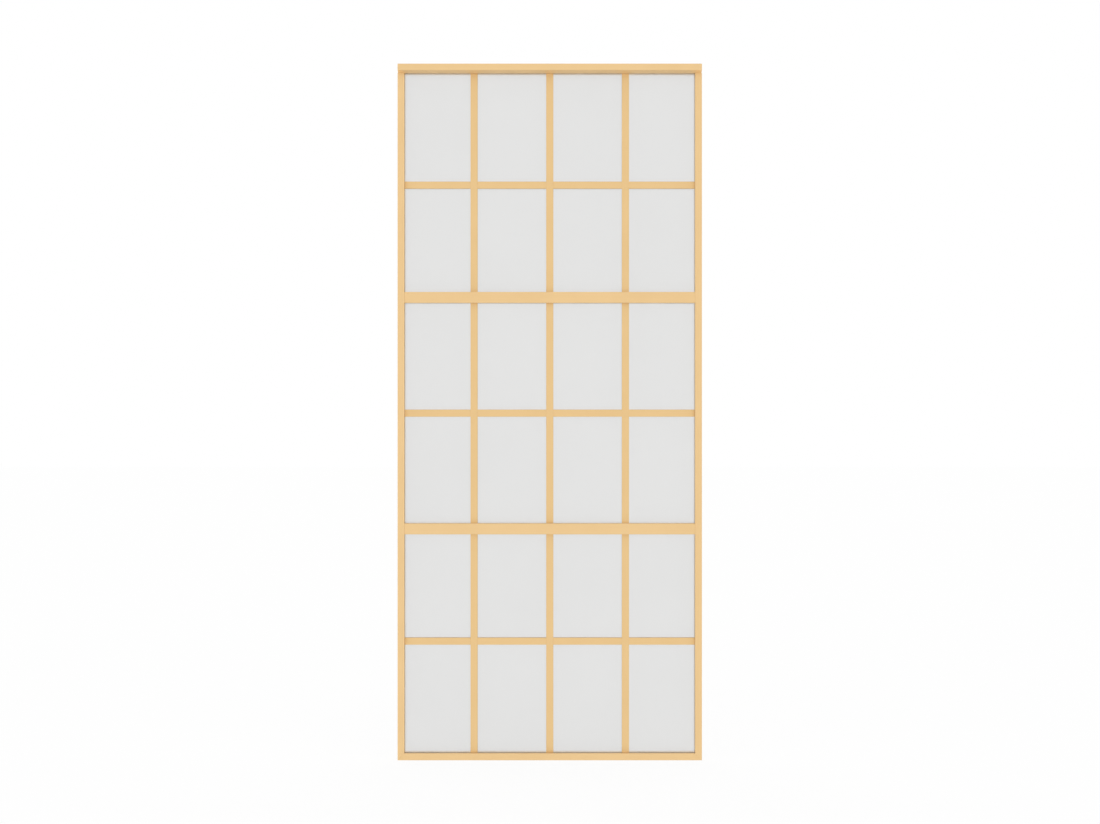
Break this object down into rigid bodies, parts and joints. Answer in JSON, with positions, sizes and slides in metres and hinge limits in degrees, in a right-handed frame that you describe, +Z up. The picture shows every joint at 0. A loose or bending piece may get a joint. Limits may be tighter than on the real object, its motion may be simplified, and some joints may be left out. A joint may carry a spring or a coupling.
{
  "type": "sliding glass door",
  "caption": "Sliding door leaf: shallow metal frame with transoms, satin glass panes, flat glazing bars, tandem rollers in the bottom rail and a head channel that laps its track.",
  "frame": {"origin": "bottom centre of the leaf, on the line where its wheels stand on the floor track", "axes": "+X along the width, to the right seen from the front; the front faces -Y; +Z up"},
  "size_m": [0.895, 0.076, 2.046],
  "materials": {
    "gold_frame": "satin gold coat",
    "gold_bar": "satin gold coat",
    "satin_glass": "etched, milky",
    "gasket": "matt",
    "cleat_alloy": "mill",
    "screw_steel": "zinc plated",
    "zinc_steel": "galvanised",
    "nylon": "moulded nylon",
    "plug_plastic": "moulded"
  },
  "bodies": {
    "leaf": {"bottom_rail": "gold_frame", "frame_screws": "screw_steel", "front_lower_centre_muntin": "gold_bar", "front_lower_crossbar": "gold_bar", "front_lower_left_muntin": "gold_bar", "front_lower_right_muntin": "gold_bar", "front_middle_centre_muntin": "gold_bar", "front_middle_crossbar": "gold_bar", "front_middle_left_muntin": "gold_bar", "front_middle_right_muntin": "gold_bar", "front_upper_centre_muntin": "gold_bar", "front_upper_crossbar": "gold_bar", "front_upper_left_muntin": "gold_bar", "front_upper_right_muntin": "gold_bar", "guide_screws": "screw_steel", "left_corner_cleat": "cleat_alloy", "left_guide": "nylon", "left_head_cleat": "cleat_alloy", "left_inner_axle": "screw_steel", "left_outer_axle": "screw_steel", "left_roller_bracket": "zinc_steel", "left_stile": "gold_frame", "lower_gasket": "gasket", "lower_glass": "satin_glass", "lower_transom": "gold_frame", "middle_gasket": "gasket", "middle_glass": "satin_glass", "rear_lower_centre_muntin": "gold_bar", "rear_lower_crossbar": "gold_bar", "rear_lower_left_muntin": "gold_bar", "rear_lower_right_muntin": "gold_bar", "rear_middle_centre_muntin": "gold_bar", "rear_middle_crossbar": "gold_bar", "rear_middle_left_muntin": "gold_bar", "rear_middle_right_muntin": "gold_bar", "rear_upper_centre_muntin": "gold_bar", "rear_upper_crossbar": "gold_bar", "rear_upper_left_muntin": "gold_bar", "rear_upper_right_muntin": "gold_bar", "right_corner_cleat": "cleat_alloy", "right_guide": "nylon", "right_head_cleat": "cleat_alloy", "right_inner_axle": "screw_steel", "right_outer_axle": "screw_steel", "right_roller_bracket": "zinc_steel", "right_stile": "gold_frame", "top_rail": "gold_frame", "upper_gasket": "gasket", "upper_glass": "satin_glass", "upper_transom": "gold_frame"},
    "left_inner_wheel": {"left_inner_wheel": "nylon"},
    "left_outer_wheel": {"left_outer_wheel": "nylon"},
    "right_inner_wheel": {"right_inner_wheel": "nylon"},
    "right_outer_wheel": {"right_outer_wheel": "nylon"}
  },
  "joints": [
    {"name": "left_inner_wheel_spin", "type": "hinge", "parent": "leaf", "child": "left_inner_wheel", "pos_m": [-0.352, 0, 0.0052], "axis": [0, 1, 0], "continuous": true},
    {"name": "left_outer_wheel_spin", "type": "hinge", "parent": "leaf", "child": "left_outer_wheel", "pos_m": [-0.368, 0, 0.0052], "axis": [0, 1, 0], "continuous": true},
    {"name": "right_inner_wheel_spin", "type": "hinge", "parent": "leaf", "child": "right_inner_wheel", "pos_m": [0.352, 0, 0.0052], "axis": [0, 1, 0], "continuous": true},
    {"name": "right_outer_wheel_spin", "type": "hinge", "parent": "leaf", "child": "right_outer_wheel", "pos_m": [0.368, 0, 0.0052], "axis": [0, 1, 0], "continuous": true}
  ]
}
